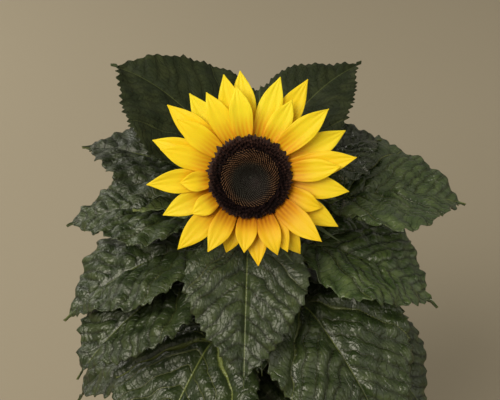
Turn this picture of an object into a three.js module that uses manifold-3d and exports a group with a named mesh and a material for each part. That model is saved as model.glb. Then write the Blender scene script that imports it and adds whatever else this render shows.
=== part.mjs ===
// A dwarf sunflower in bloom, growing in a plain clay pot. Millimetres, +Z up.
// The origin is the centre of the pot's flat underside, and the bloom faces -Y and a little upward.

import * as THREE from 'three';
import { mergeVertices } from 'three/addons/utils/BufferGeometryUtils.js';
import Module from 'manifold-3d';

const wasm = await Module();
wasm.setup();

// ---------- Driving dimensions ----------

const clearance = 0.3; // between pieces that touch

// Pot and soil
const potHeight = 135;
const potTopRadius = 73;
const potFootRadius = 52;
const potWall = 5;
const potFloor = 7;
const rimHeight = 26;
const rimProud = 4;
const potSides = 36;
const drainHoles = 4;
const drainHoleRadius = 4.5;
const drainHoleCircle = 28;
const soilLevel = 122;
const soilEdgeDip = 5;

// Stem: upright, then curving forward into the back of the bloom
const stemFlareRadius = 12;
const stemFlareHeight = 14;
const stemFootRadius = 9;
const stemNeckRadius = 5.8;
const stemUprightTo = 328;
const stemSides = 10;
const stemRings = 18;

// Bloom
const bloomCentre = new THREE.Vector3(0, -45, 390);
const bloomFacesUp = 28; // degrees that its axis rises above level
const headRadius = 28;
const headDepth = 18;
const headRim = 7;
const discHeight = 8;
const petalThickness = 0.7;
const petalLayerDrop = 1.9;
const petalBaseRadius = headRadius + clearance;
const petalLift = 16; // degrees that a front petal starts forward of the face
const petalLiftPerLayer = 4.5; // less for each layer behind
const petalBend = 16; // degrees that it bends back on the way to its tip
const petalLowExtra = 40; // more of both at the foot of the bloom
const petalCup = 1.1; // height of its edges over its middle
const petalOutline = { peak: 0.48, atFoot: 0.62, body: 1, strip: 0 };
const bractCount = 18;
const headSides = 24;
const bractRadius = 20; // where they stand out of the cup
const bractDepth = 9.5;
const bractLength = 33;
const bractWidth = 9;
const bractOutline = { peak: 0.25, atFoot: 0.8, body: 1, strip: 0 };
const bractThickness = 0.8;

// Leaves
const petioleRadius = 3;
const petioleSides = 6;
const petioleUnderBlade = 0.2; // share of the blade that the midrib stands out under
const bladeThickness = 0.0125; // share of the blade's length
const bladeRows = 9;
const bladeColumns = 6;
const bladeOutline = { peak: 0.3, atFoot: 0.58, body: 0.9, strip: 0.07 };
const bladeSag = 0.15;
const lobeSweep = 0.13; // how far the base lobes reach back, as a share of the length
const edgeWave = 2;
const edgeWaves = 2.2;
const edgeWaveLag = 1.3; // between the two halves
const pathStep = 1;

// Each leaf from the top of the stem down. A bearing of 0 is +X, 90 is the back and -90 the front.
// Angles: the petiole rises, arches over, the blade nods at its foot, droops to its tip and turns
// aside, and its halves fold up along the midrib.
// name, height, bearing, petiole, length, width, rise, arch, nod, droop, fold, turn
const leafPlan = [
  ['leaf_upper_right', 340, 45, 44, 98, 80, 58, 10, 8, 44, 10, -4],
  ['leaf_upper_left', 330, 143, 52, 108, 112, 60, 10, 8, 46, 10, 6],
  ['leaf_young_left', 324, 193, 26, 64, 30, 25, 4, 4, 20, 14, 0],
  ['leaf_upper_back', 322, 116, 48, 96, 80, 58, 12, 8, 46, 10, 0],
  ['leaf_right_high', 318, 32, 48, 84, 84, 45, 14, 12, 38, 12, 0],
  ['leaf_left_high', 314, 160, 48, 104, 100, 54, 20, 14, 38, 12, 0],
  ['leaf_front', 310, -92, 44, 110, 85, 37, 24, 34, 32, 12, 0],
  ['leaf_right_side', 304, 7, 78, 96, 118, 34, 22, 8, 30, 16, 0],
  ['leaf_left_side', 302, 178, 52, 96, 96, 38, 18, 14, 38, 12, 0],
  ['leaf_back_high', 292, 80, 46, 104, 88, 32, 18, 14, 38, 12, 0],
  ['leaf_left_front', 286, 197, 54, 108, 92, 30, 20, 20, 38, 12, 0],
  ['leaf_right_front', 286, -15, 56, 104, 104, 33, 22, 18, 40, 12, 0],
  ['leaf_left_mid', 266, 211, 60, 112, 88, 32, 24, 22, 40, 12, 0],
  ['leaf_right_back', 272, 58, 54, 108, 90, 28, 20, 18, 40, 12, 0],
  ['leaf_back_left', 256, 140, 60, 120, 98, 28, 22, 20, 42, 12, 0],
  ['leaf_lower_right', 248, -52, 70, 132, 118, 39, 26, 34, 34, 12, 0],
  ['leaf_right_mid', 240, -30, 64, 120, 96, 28, 24, 22, 40, 12, 0],
  ['leaf_back_right', 232, 42, 62, 120, 100, 26, 22, 20, 42, 12, 0],
  ['leaf_lower_left', 222, -120, 60, 128, 112, 33, 24, 30, 36, 12, 0],
  ['leaf_low_back', 208, 92, 56, 116, 96, 26, 22, 26, 42, 12, 0],
  ['leaf_low_left', 202, 184, 56, 112, 92, 24, 22, 22, 42, 12, 0],
  ['leaf_low_front', 196, -87, 46, 116, 98, 28, 22, 30, 36, 12, 0],
  ['leaf_low_right', 190, -2, 56, 112, 92, 24, 22, 22, 42, 12, 0],
];

// Each ray petal: bearing on the bloom's face from its right, reach from its centre, and layer,
// where 0 is the front one.
const petalPlan = [
  [7, 62, 0], [11, 74, 1], [25, 73, 2], [42, 71, 0], [59, 77, 3], [61, 60, 1], [74, 71, 2],
  [95, 73, 3], [98, 63, 0], [105, 72, 2], [117, 65, 1], [127, 70, 3], [139, 75, 2], [141, 64, 0],
  [159, 72, 3], [162, 64, 1], [183, 71, 2], [184, 48, 0], [203, 66, 3], [212, 47, 0], [224, 71, 2],
  [240, 58, 1], [253, 56, 3], [266, 51, 0], [276, 61, 2], [290, 56, 0], [298, 57, 1], [303, 65, 3],
  [318, 65, 0], [331, 70, 3], [336, 54, 1], [352, 69, 2],
];

// ---------- Materials ----------

function finish(color, roughness) {
  return new THREE.MeshStandardMaterial({ color, roughness, metalness: 0 });
}

const clay = finish('#b4694a', 0.85);
const soil = finish('#3b2a1e', 0.95);
const stalk = finish('#6f8a3a', 0.6);
const foliage = finish('#33472a', 0.5);
const youngFoliage = finish('#5f7a35', 0.5);
const petalYellow = finish('#f2c91f', 0.55);
const discBrown = finish('#2b1512', 0.8);

// ---------- Solids ----------

// A geometry as a closed solid, its shared corners merged and the folded faces on an axis dropped
function solidOf(geometry) {
  const bare = new THREE.BufferGeometry();
  bare.setAttribute('position', geometry.getAttribute('position'));
  bare.setIndex(geometry.getIndex());
  const merged = mergeVertices(bare, 1e-3);
  const corners = merged.getIndex().array;
  const triangles = [];
  for (let i = 0; i < corners.length; i += 3) {
    const [a, b, c] = corners.slice(i, i + 3);
    if (a !== b && b !== c && c !== a) triangles.push(a, b, c);
  }
  return new wasm.Manifold(new wasm.Mesh({
    numProp: 3,
    vertProperties: new Float32Array(merged.getAttribute('position').array),
    triVerts: new Uint32Array(triangles),
  }));
}

function geometryOf(solid) {
  const mesh = solid.getMesh();
  const geometry = new THREE.BufferGeometry();
  geometry.setAttribute('position', new THREE.BufferAttribute(mesh.vertProperties, 3));
  geometry.setIndex(new THREE.BufferAttribute(mesh.triVerts, 1));
  geometry.computeVertexNormals();
  return geometry;
}

function named(name, geometry, material) {
  const mesh = new THREE.Mesh(geometry, material);
  mesh.name = name;
  return mesh;
}

// A body of revolution about +Z, from a profile of [radius, height] that runs from the axis up to it
function turned(profile, sides) {
  const points = profile.map(([radius, height]) => new THREE.Vector2(radius, height));
  const geometry = new THREE.LatheGeometry(points, sides);
  geometry.rotateX(Math.PI / 2);
  return geometry;
}

// ---------- Paths that grow ----------

const radians = THREE.MathUtils.degToRad;

// Stops along a path of a given length, each with its place and its own along, side and face
// directions. headingAt(run) gives the bearing and the pitch in degrees.
function growPath(start, length, headingAt) {
  const stops = [];
  const place = start.clone();
  for (let run = 0; run <= length; run += pathStep) {
    const [bearing, pitch] = headingAt(run).map(radians);
    const level = Math.cos(pitch);
    const along = new THREE.Vector3(level * Math.cos(bearing), level * Math.sin(bearing), Math.sin(pitch));
    const side = new THREE.Vector3(-Math.sin(bearing), Math.cos(bearing), 0);
    const face = new THREE.Vector3().crossVectors(along, side);
    if (run > 0) place.addScaledVector(along, pathStep);
    stops.push({ place: place.clone(), along, side, face });
  }
  return stops;
}

// The stop nearest to a run along the path, carried on by what is left of the run
function stopAt(stops, run) {
  const index = THREE.MathUtils.clamp(Math.round(run / pathStep), 0, stops.length - 1);
  const stop = stops[index];
  const place = stop.place.clone().addScaledVector(stop.along, run - index * pathStep);
  return { ...stop, place };
}

// A tube with closed ends through a row of stops, with a radius for each
function tubeAlong(stops, radii, sides) {
  const geometry = new THREE.CylinderGeometry(1, 1, 1, sides, stops.length - 1);
  const corners = geometry.getAttribute('position');
  for (let i = 0; i < corners.count; i += 1) {
    const row = Math.round((corners.getY(i) + 0.5) * (stops.length - 1));
    const { place, side, face } = stops[row];
    const corner = place.clone();
    corner.addScaledVector(face, corners.getX(i) * radii[row]);
    corner.addScaledVector(side, corners.getZ(i) * radii[row]);
    corners.setXYZ(i, corner.x, corner.y, corner.z);
  }
  return geometry;
}

// A thin blade: placeAt(u, v) gives a point of its middle surface and the direction its face looks,
// for u from foot to tip and v from -1 to 1 across
function bladeGeometry(placeAt, thickness, rows, columns) {
  const geometry = new THREE.BoxGeometry(1, 1, 1, columns, rows, 1);
  const corners = geometry.getAttribute('position');
  const tipAt = 0.97;
  for (let i = 0; i < corners.count; i += 1) {
    const u = (corners.getY(i) + 0.5) * tipAt;
    const v = -2 * corners.getX(i);
    const { place, face } = placeAt(u, v);
    place.addScaledVector(face, corners.getZ(i) * thickness);
    corners.setXYZ(i, place.x, place.y, place.z);
  }
  return geometry;
}

// Half width of a blade as a share of its greatest: rounded at the foot, widest at the peak, then
// full shoulders that end in a slender tip
function outline(u, { peak, atFoot, body, strip }) {
  if (u < peak) return 1 - (1 - atFoot) * ((peak - u) / peak) ** 2;
  const toTip = (u - peak) / (1 - peak);
  const shoulder = 1 - Math.min(toTip / body, 1) ** 1.9;
  return (1 - strip) * shoulder ** 1.2 + strip * (1 - toTip);
}

// ---------- Stem ----------

function stemStops() {
  const tilt = radians(bloomFacesUp);
  const axis = new THREE.Vector3(0, -Math.cos(tilt), Math.sin(tilt));
  const neck = bloomCentre.clone().addScaledVector(axis, -headDepth - clearance);
  const foot = new THREE.Vector3(0, 0, soilLevel + clearance);
  const bend = new THREE.Vector3(0, 0, stemUprightTo);
  const curve = new THREE.CurvePath();
  curve.add(new THREE.LineCurve3(foot, bend));
  const above = bend.clone().add(new THREE.Vector3(0, 4, 44));
  const behind = neck.clone().addScaledVector(axis, -22);
  curve.add(new THREE.CubicBezierCurve3(bend, above, behind, neck));
  const side = new THREE.Vector3(1, 0, 0);
  const stops = [];
  for (let ring = 0; ring < stemRings; ring += 1) {
    const share = (ring / (stemRings - 1)) ** 0.8;
    const place = curve.getPointAt(share);
    const along = curve.getTangentAt(share);
    stops.push({ place, along, side, face: new THREE.Vector3().crossVectors(along, side), share });
  }
  return stops;
}

// Flared at the soil, tapering up to the neck, and a little wider again where it joins the bloom
function stemRadiusAt(stop) {
  const aboveSoil = stop.place.z - soilLevel;
  const taper = THREE.MathUtils.lerp(stemFootRadius, stemNeckRadius, Math.min(stop.share / 0.9, 1));
  const flare = (stemFlareRadius - stemFootRadius) * Math.max(1 - aboveSoil / stemFlareHeight, 0) ** 2;
  const joint = 1.2 * Math.max((stop.share - 0.9) / 0.1, 0);
  return taper + flare + joint;
}

function stemGeometry(extra) {
  const stops = stemStops();
  return tubeAlong(stops, stops.map((stop) => stemRadiusAt(stop) + extra), stemSides);
}

// ---------- Leaves ----------

function leafPath(leaf) {
  const start = new THREE.Vector3(0, 0, leaf.height);
  return growPath(start, leaf.petiole + leaf.length, (run) => {
    const onPetiole = Math.min(run / leaf.petiole, 1);
    const onBlade = Math.max((run - leaf.petiole) / leaf.length, 0);
    const bent = leaf.arch * onPetiole ** 1.5 + leaf.nod * Math.min(onBlade / 0.12, 1);
    return [leaf.bearing + leaf.turn * onBlade, leaf.rise - bent - leaf.droop * onBlade ** 1.2];
  });
}

// A heart-shaped blade whose halves fold up from the midrib, sag outward and wave at the edge
function leafPlace(leaf, stops, u, v) {
  const halfWidth = leaf.width / 2;
  const across = v * halfWidth * outline(u, bladeOutline);
  const back = lobeSweep * (1 - u) ** 3 * Math.sin(Math.PI * Math.abs(v) ** 1.1);
  const stop = stopAt(stops, leaf.petiole + leaf.length * Math.max(u - back, 0));
  stop.place.addScaledVector(stop.along, leaf.length * Math.min(u - back, 0));
  const fold = Math.abs(across) * Math.tan(radians(leaf.fold));
  const sag = bladeSag * across ** 2 / halfWidth;
  const lag = v > 0 ? 0 : edgeWaveLag;
  const wave = edgeWave * v ** 2 * Math.sin(2 * Math.PI * (edgeWaves * u + leaf.phase) + lag);
  stop.place.addScaledVector(stop.side, across);
  stop.place.addScaledVector(stop.face, fold - sag + wave);
  return stop;
}

// The petiole runs on under the blade as its midrib
function petioleGeometry(leaf, stops) {
  const size = petioleRadius * Math.sqrt(leaf.length / 120);
  const reach = leaf.petiole + leaf.length * petioleUnderBlade;
  const rings = 8;
  const runs = Array.from({ length: rings }, (_, ring) => (reach * ring) / (rings - 1));
  const radii = runs.map((run) => size * (1 - 0.6 * run / reach));
  const centres = runs.map((run, ring) => {
    const stop = stopAt(stops, run);
    stop.place.addScaledVector(stop.face, -radii[ring] * Math.min(run / leaf.petiole, 1));
    return stop;
  });
  return tubeAlong(centres, radii, petioleSides);
}

function leafMesh(leaf, stemSpace) {
  const stops = leafPath(leaf);
  const placeAt = (u, v) => leafPlace(leaf, stops, u, v);
  const thickness = bladeThickness * leaf.length;
  const blade = solidOf(bladeGeometry(placeAt, thickness, bladeRows, bladeColumns));
  const petiole = solidOf(petioleGeometry(leaf, stops));
  const whole = blade.add(petiole).subtract(stemSpace);
  const material = leaf.length < 80 ? youngFoliage : foliage;
  return named(leaf.name, geometryOf(whole), material);
}

function leafMeshes() {
  const stemSpace = solidOf(stemGeometry(clearance));
  return leafPlan.map((row, index) => {
    const [name, height, bearing, petiole, length, width, rise, arch, nod, droop, fold, turn] = row;
    const phase = 0.37 * index;
    const leaf = { name, height, bearing, petiole, length, width, rise, arch, nod, droop, fold, turn, phase };
    return leafMesh(leaf, stemSpace);
  });
}

// ---------- Bloom, in its own frame: X to its right, Y up its face, Z out of it ----------

// 0 at the top of the bloom and 1 at its foot, where the petals reach forward and arch over
function lowness(bearing) {
  return ((1 - Math.sin(radians(bearing))) / 2) ** 2;
}

function petalPath(petal) {
  const low = lowness(petal.bearing);
  const lift = petalLift - petalLiftPerLayer * petal.layer + petalLowExtra * low;
  const bend = petalBend + petalLowExtra * low;
  const meanPitch = lift - 0.43 * bend;
  const length = (petal.reach - petalBaseRadius) / Math.cos(radians(meanPitch));
  const bearing = radians(petal.bearing);
  const depth = -0.5 - petalLayerDrop * petal.layer;
  const foot = petalBaseRadius + petalThickness * Math.sin(radians(lift)) / 2;
  const start = new THREE.Vector3(foot * Math.cos(bearing), foot * Math.sin(bearing), depth);
  const stops = growPath(start, length, (run) => [petal.bearing, lift - bend * (run / length) ** 1.3]);
  return { stops, length };
}

function petalMesh(petal, index) {
  const { stops, length } = petalPath(petal);
  const halfWidth = 5.6 + 0.065 * length;
  const placeAt = (u, v) => {
    const stop = stopAt(stops, u * length);
    const across = v * halfWidth * outline(u, petalOutline);
    stop.place.addScaledVector(stop.side, across);
    stop.place.addScaledVector(stop.face, petalCup * v ** 2 * Math.sin(Math.PI * u));
    return stop;
  };
  const name = `petal_${String(index + 1).padStart(2, '0')}`;
  return named(name, bladeGeometry(placeAt, petalThickness, 5, 2), petalYellow);
}

function petalMeshes() {
  return petalPlan.map(([bearing, reach, layer], index) => petalMesh({ bearing, reach, layer }, index));
}

// The green cup behind the petals, with its ring of pointed bracts
function bractGeometry(index) {
  const bearing = (360 * index) / bractCount + 7 * Math.sin(5 * index);
  const length = bractLength + 6 * Math.sin(2.3 * index);
  const start = new THREE.Vector3(bractRadius, 0, -bractDepth);
  start.applyAxisAngle(new THREE.Vector3(0, 0, 1), radians(bearing));
  const stops = growPath(start, length, (run) => [bearing, -4 - 10 * run / length]);
  const placeAt = (u, v) => {
    const stop = stopAt(stops, u * length);
    const across = v * bractWidth / 2 * outline(u, bractOutline);
    stop.place.addScaledVector(stop.side, across);
    return stop;
  };
  return bladeGeometry(placeAt, bractThickness, 2, 2);
}

function cupMesh() {
  const rimTop = 0.6;
  const profile = [
    [0, -headDepth],
    [stemNeckRadius + 1.4, -headDepth],
    [headRadius * 0.5, -headDepth + 3],
    [headRadius * 0.85, -headDepth + 7],
    [headRadius, -headRim],
    [headRadius, rimTop],
    [0, rimTop],
  ];
  let cup = solidOf(turned(profile, headSides));
  for (let index = 0; index < bractCount; index += 1) {
    cup = cup.add(solidOf(bractGeometry(index)));
  }
  return named('flower_cup', geometryOf(cup), stalk);
}

// The seed disc: a raised ring of florets round a shallow hollow
function discMesh() {
  const foot = 0.6 + clearance;
  const profile = [
    [0, foot],
    [headRadius, foot],
    [headRadius + 1.3, discHeight * 0.55],
    [headRadius - 1, discHeight * 0.9],
    [headRadius * 0.8, discHeight],
    [headRadius * 0.5, discHeight * 0.85],
    [headRadius * 0.2, discHeight * 0.65],
    [0, discHeight * 0.5],
  ];
  return named('seed_disc', turned(profile, headSides), discBrown);
}

function bloom() {
  const group = new THREE.Group();
  group.add(cupMesh(), discMesh(), ...petalMeshes());
  group.position.copy(bloomCentre);
  group.rotation.x = radians(90 - bloomFacesUp);
  return group;
}

// ---------- Pot and soil ----------

function innerRadiusAt(height) {
  const share = height / potHeight;
  return THREE.MathUtils.lerp(potFootRadius, potTopRadius, share) - potWall;
}

function potMesh() {
  const rimFoot = potHeight - rimHeight;
  const outerAt = (height) => innerRadiusAt(height) + potWall;
  const profile = [
    [0, 0],
    [potFootRadius - 1.5, 0],
    [outerAt(1.5), 1.5],
    [outerAt(rimFoot), rimFoot],
    [outerAt(rimFoot) + rimProud, rimFoot + 1.5],
    [potTopRadius + rimProud, potHeight - 2],
    [potTopRadius + rimProud - 1.5, potHeight],
    [innerRadiusAt(potHeight) + 1, potHeight],
    [innerRadiusAt(potHeight), potHeight - 1.5],
    [innerRadiusAt(potFloor), potFloor],
    [0, potFloor],
  ];
  let pot = solidOf(turned(profile, potSides));
  for (let hole = 0; hole < drainHoles; hole += 1) {
    const turn = ((hole + 0.5) * 2 * Math.PI) / drainHoles;
    const drill = new THREE.CylinderGeometry(drainHoleRadius, drainHoleRadius, 3 * potFloor, 12);
    drill.rotateX(Math.PI / 2);
    drill.translate(drainHoleCircle * Math.cos(turn), drainHoleCircle * Math.sin(turn), 0);
    pot = pot.subtract(solidOf(drill));
  }
  return named('pot', geometryOf(pot), clay);
}

function soilMesh() {
  const foot = potFloor + clearance;
  const edgeHeight = soilLevel - soilEdgeDip;
  const profile = [
    [0, foot],
    [innerRadiusAt(foot) - clearance - 0.2, foot],
    [innerRadiusAt(edgeHeight) - clearance - 0.2, edgeHeight],
    [stemFlareRadius * 3, soilLevel - 1],
    [stemFlareRadius * 1.4, soilLevel],
    [0, soilLevel],
  ];
  return named('soil', turned(profile, potSides), soil);
}

// ---------- The whole plant ----------

const plant = new THREE.Group();
plant.add(potMesh(), soilMesh(), named('stem', stemGeometry(0), stalk), ...leafMeshes(), bloom());

export default plant;
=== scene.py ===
# A dwarf sunflower in bloom in a plain clay pot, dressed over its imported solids.
# Shapes are worked out in millimetres and put into the meshes in metres. +Z is up, the bloom faces -Y.
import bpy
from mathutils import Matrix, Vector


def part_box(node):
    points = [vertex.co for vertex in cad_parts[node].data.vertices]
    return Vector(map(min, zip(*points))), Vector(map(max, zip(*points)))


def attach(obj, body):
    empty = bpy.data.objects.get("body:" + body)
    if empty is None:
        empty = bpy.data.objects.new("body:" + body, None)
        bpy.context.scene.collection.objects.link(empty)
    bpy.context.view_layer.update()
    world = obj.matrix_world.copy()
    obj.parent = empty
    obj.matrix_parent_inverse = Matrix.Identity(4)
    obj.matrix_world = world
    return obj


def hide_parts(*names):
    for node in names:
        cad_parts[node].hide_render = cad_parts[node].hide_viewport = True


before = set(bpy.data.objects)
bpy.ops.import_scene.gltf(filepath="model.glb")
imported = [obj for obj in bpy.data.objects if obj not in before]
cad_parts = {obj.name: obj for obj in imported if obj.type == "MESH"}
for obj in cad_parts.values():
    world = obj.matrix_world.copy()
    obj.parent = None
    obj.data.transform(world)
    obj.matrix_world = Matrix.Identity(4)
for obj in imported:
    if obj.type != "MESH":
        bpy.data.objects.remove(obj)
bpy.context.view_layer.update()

import math
import bpy
import numpy as np
from mathutils import Vector

mm = 0.001
goldenTurn = math.pi * (3 - math.sqrt(5))
print("frame loaded:", len(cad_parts), "nodes")


# meshes

def newObject(name, data):
    thing = bpy.data.objects.new(name, data)
    bpy.context.scene.collection.objects.link(thing)
    return thing


def newMesh(name, points, faces):
    # points in millimetres
    mesh = bpy.data.meshes.new(name)
    mesh.from_pydata((np.asarray(points, float) * mm).tolist(), [], [list(face) for face in faces])
    return newObject(name, mesh)


def newPiece(name, points, faces, materials, replaces=(), fields=None, picks=None, smooth=True):
    # one object at the origin; fields are numbers kept at its points, picks each face's material by number
    piece = newMesh(name, points, faces)
    mesh = piece.data
    for fieldName, values in (fields or {}).items():
        layer = mesh.attributes.new(fieldName, "FLOAT", "POINT")
        layer.data.foreach_set("value", np.asarray(values, np.float32).ravel())
    for material in materials:
        mesh.materials.append(material)
    if picks is not None:
        mesh.polygons.foreach_set("material_index", np.asarray(picks, np.int32))
    mesh.polygons.foreach_set("use_smooth", np.full(len(mesh.polygons), smooth))
    mesh.update()
    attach(piece, "root")
    if replaces:
        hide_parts(*replaces)
    return piece


def gridFaces(rows, columns, wrap=False):
    # the four-sided faces of a grid of points, row by row; wrap joins the last column to the first
    row = np.arange(rows - 1)[:, None] * columns
    column = np.arange(columns if wrap else columns - 1)[None, :]
    after = (column + 1) % columns
    corners = [row + column, row + after, row + columns + after, row + columns + column]
    return np.stack(np.broadcast_arrays(*corners), -1).reshape(-1, 4)


def shell(face, normal, above, below):
    # a thin closed skin: a grid of points moved out along its normal and back, joined at the border
    rows, columns = face.shape[:2]
    count = rows * columns
    over = (face + normal * above).reshape(-1, 3)
    under = (face - normal * below).reshape(-1, 3)
    quads = gridFaces(rows, columns)
    index = np.arange(count).reshape(rows, columns)
    rim = np.concatenate([index[0], index[1:, -1], index[-1, -2::-1], index[-2:0:-1, 0]])
    ahead = np.roll(rim, -1)
    edge = np.stack([rim, ahead, ahead + count, rim + count], -1)
    return np.concatenate([over, under]), np.concatenate([quads[:, ::-1], quads + count, edge])


def turnsOf(count):
    # angles once round
    return np.linspace(0, 2 * math.pi, count, endpoint=False)


def polar(radius, turn, height=0.0):
    return np.stack(np.broadcast_arrays(radius * np.cos(turn), radius * np.sin(turn), height), -1)


def bell(value, width):
    return np.exp(-(value / width) ** 2)


def unit(ways):
    return ways / (np.linalg.norm(ways, axis=-1, keepdims=True) + 1e-9)


def gridNormals(face, outward):
    # the cross product of the grid's two directions, turned to the same side as outward
    normal = unit(np.cross(np.gradient(face, axis=0), np.gradient(face, axis=1)))
    return normal * np.sign(np.sum(normal * outward, -1, keepdims=True))


def closedRings(rings, foot, head):
    # rings of points one after the other, with both ends closed to a middle point
    stops, sides = rings.shape[:2]
    last = stops * sides - sides
    around = np.arange(sides)
    after = (around + 1) % sides
    footFan = np.stack([0 * around + last + sides, around, after], -1)
    headFan = np.stack([0 * around + last + sides + 1, last + after, last + around], -1)
    walls = gridFaces(stops, sides, wrap=True)[:, ::-1]
    faces = [*walls.tolist(), *footFan.tolist(), *headFan.tolist()]
    return np.concatenate([rings.reshape(-1, 3), [foot, head]]), faces


def tube(centres, side, face, radius, sides):
    # a ring round each stop: centre + radius (face cos t + side sin t), where radius may change with both
    turn = turnsOf(sides)[None, :, None]
    radius = np.broadcast_to(radius, (len(centres), sides))[..., None]
    ring = face[:, None] * np.cos(turn) + side[:, None] * np.sin(turn)
    return closedRings(centres[:, None] + ring * radius, centres[0], centres[-1])


def turned(profile, sides, squeeze=1.0):
    # a profile of radius and height turned about +Z, from below up the outside and down the inside
    centre = profile[:, 1:] * [0, 0, 1.0]
    right, back = (np.broadcast_to(way, centre.shape) for way in ([1.0, 0, 0], [0, 1.0, 0]))
    return tube(centre, right, back, profile[:, :1] * squeeze, sides)


def joined(parts):
    # several meshes of points and faces as one
    starts = np.cumsum([0] + [len(part[0]) for part in parts]).tolist()
    faces = [[corner + start for corner in face] for part, start in zip(parts, starts) for face in part[1]]
    return np.concatenate([part[0] for part in parts]), faces


def copies(shape, faces, places, axes, sizes):
    # the same small shape at many places at once: place + size (x a + y b + z c), all as whole arrays
    shape = np.asarray(shape, float)
    points = places[:, None] + sizes[:, None, None] * np.einsum("kj,njc->nkc", shape, axes)
    starts = (np.arange(len(places)) * len(shape)).tolist()
    return points.reshape(-1, 3), [[corner + start for corner in face] for start in starts for face in faces]


def smoothStep(low, high, value):
    share = np.clip((value - low) / (high - low), 0, 1)
    return share * share * (3 - 2 * share)


def chanceOf(*numbers):
    # a number from 0 to 1 that looks random, from whole numbers: the fraction of a large sine
    total = sum(np.asarray(number) * factor for number, factor in zip(numbers, (12.9898, 78.233, 37.719)))
    return np.mod(np.sin(total) * 43758.5453, 1)


def readAt(at, run, values):
    # each column of values, known at every run, read at other places
    return np.stack([np.interp(at, run, column) for column in values.T], -1)


def wander(across, ahead, seed):
    # a smooth uneven field of about -1 to 1: three crossed sines of different length
    one = np.sin(0.17 * across + 0.09 * ahead + seed)
    two = np.sin(0.27 * ahead - 0.13 * across + 2.3 * seed)
    three = np.sin(0.41 * across + 0.33 * ahead + 3.1 * seed)
    return (one + two + 0.6 * three) / 2


# paths that grow, by the same rule as the solids

def growPath(start, length, headingAt):
    # stops 1 mm apart; headingAt gives the bearing and pitch in degrees for each run
    run = np.arange(math.floor(length) + 1.0)
    bearing, pitch = (np.radians(angle) + 0 * run for angle in headingAt(run))
    level = np.cos(pitch)
    along = np.stack([level * np.cos(bearing), level * np.sin(bearing), np.sin(pitch)], -1)
    side = np.stack([-np.sin(bearing), np.cos(bearing), 0 * run], -1)
    place = np.asarray(start, float) + np.cumsum(along, 0) - along[0]
    return {"run": run, "place": place, "along": along, "side": side, "face": np.cross(along, side)}


def pathAt(path, run):
    # place, along, side and face at any run, straight on past the end
    keys = ("place", "along", "side", "face")
    place, along, side, face = (readAt(run, path["run"], path[key]) for key in keys)
    past = np.maximum(run - path["run"][-1], 0)[..., None]
    return place + along * past, along, side, face


def outline(u, peak, atFoot, body, strip):
    # half width as a share of its greatest: rounded foot, widest at the peak, full shoulders, slender tip
    low = 1 - (1 - atFoot) * (np.clip(peak - u, 0, None) / peak) ** 2
    toTip = np.clip((u - peak) / (1 - peak), 0, 1)
    shoulder = 1 - np.minimum(toTip / body, 1) ** 1.9
    high = (1 - strip) * shoulder ** 1.2 + strip * (1 - toTip)
    return np.where(u < peak, low, high)


# shader nodes; each helper finds its tree by the outputs that it is given

def plug(socket, value):
    # a number, a colour of three parts, or another node's output
    if isinstance(value, bpy.types.NodeSocket):
        socket.id_data.links.new(value, socket)
    else:
        socket.default_value = (*value, 1.0) if isinstance(value, tuple) else value


def wired(kind, values, output=0, **settings):
    # a new node with its settings and what goes into its inputs, by name or by number; returns an output
    tree = next(value.id_data for value in values.values() if isinstance(value, bpy.types.NodeSocket))
    node = tree.nodes.new("ShaderNode" + kind)
    for name, value in settings.items():
        setattr(node, name, value)
    for name, value in values.items():
        plug(node.inputs[name], value)
    return node.outputs[output]


def calc(operation, *values, clamp=False):
    return wired("Math", dict(enumerate(values)), operation=operation, use_clamp=clamp)


def times(*values, clamp=False):
    return calc("MULTIPLY", *values, clamp=clamp)


def plus(*values):
    return calc("ADD", *values)


def ramp(value, low, high, start=0.0, end=1.0):
    # from start to end while the value goes from low to high, smoothly
    ends = {"From Min": low, "From Max": high, "To Min": start, "To Max": end}
    return wired("MapRange", {"Value": value, **ends}, interpolation_type="SMOOTHSTEP")


def mixColor(factor, first, second, blend="MIX"):
    return wired("Mix", {0: factor, 6: first, 7: second}, 2, data_type="RGBA", blend_type=blend)


def bump(height, strength, distance):
    return wired("Bump", {"Height": height, "Strength": strength, "Distance": distance})


def field(tree, name):
    node = tree.nodes.new("ShaderNodeAttribute")
    node.attribute_type = "GEOMETRY"
    node.attribute_name = name
    return node.outputs["Fac"]


def useGroup(tree, group, scale):
    node = tree.nodes.new("ShaderNodeGroup")
    node.node_tree = group
    node.inputs["Scale"].default_value = scale
    return node.outputs


def newMaterial(name, **fixed):
    # a Principled surface; fixed names its own sockets with plain numbers
    material = bpy.data.materials.new(name)
    material.use_nodes = True
    shader = material.node_tree.nodes["Principled BSDF"]
    for socket, value in fixed.items():
        shader.inputs[socket.replace("_", " ")].default_value = value
    return material, material.node_tree, shader


def newGroup(name, outputs):
    # a node group with a scale that works on object coordinates and gives plain values
    group = bpy.data.node_groups.new(name, "ShaderNodeTree")
    group.interface.new_socket("Scale", in_out="INPUT", socket_type="NodeSocketFloat")
    for output in outputs:
        group.interface.new_socket(output, in_out="OUTPUT", socket_type="NodeSocketFloat")
    enter, leave = group.nodes.new("NodeGroupInput"), group.nodes.new("NodeGroupOutput")
    where = group.nodes.new("ShaderNodeTexCoord").outputs["Object"]
    return group, enter.outputs["Scale"], where, leave.inputs


def makeMottle():
    # soft clouds and fine grain: two noises, one eight times finer than the other
    group, scale, where, leave = newGroup("mottle", ("Clouds", "Grain"))
    for name, finer in (("Clouds", 1.0), ("Grain", 8.0)):
        plug(leave[name], wired("TexNoise", {"Vector": where, "Detail": 3, "Scale": times(scale, finer)}))
    return group


def makeBlister():
    # small rounded cells, 1 in the middle of each and 0 at its border
    group, scale, where, leave = newGroup("blister", ("Height",))
    cells = wired("TexVoronoi", {"Vector": where, "Scale": scale, "Smoothness": 0.4}, feature="SMOOTH_F1")
    plug(leave["Height"], ramp(cells, 0.1, 0.75, 1.0, 0.0))
    return group


mottle = makeMottle()
blister = makeBlister()


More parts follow.
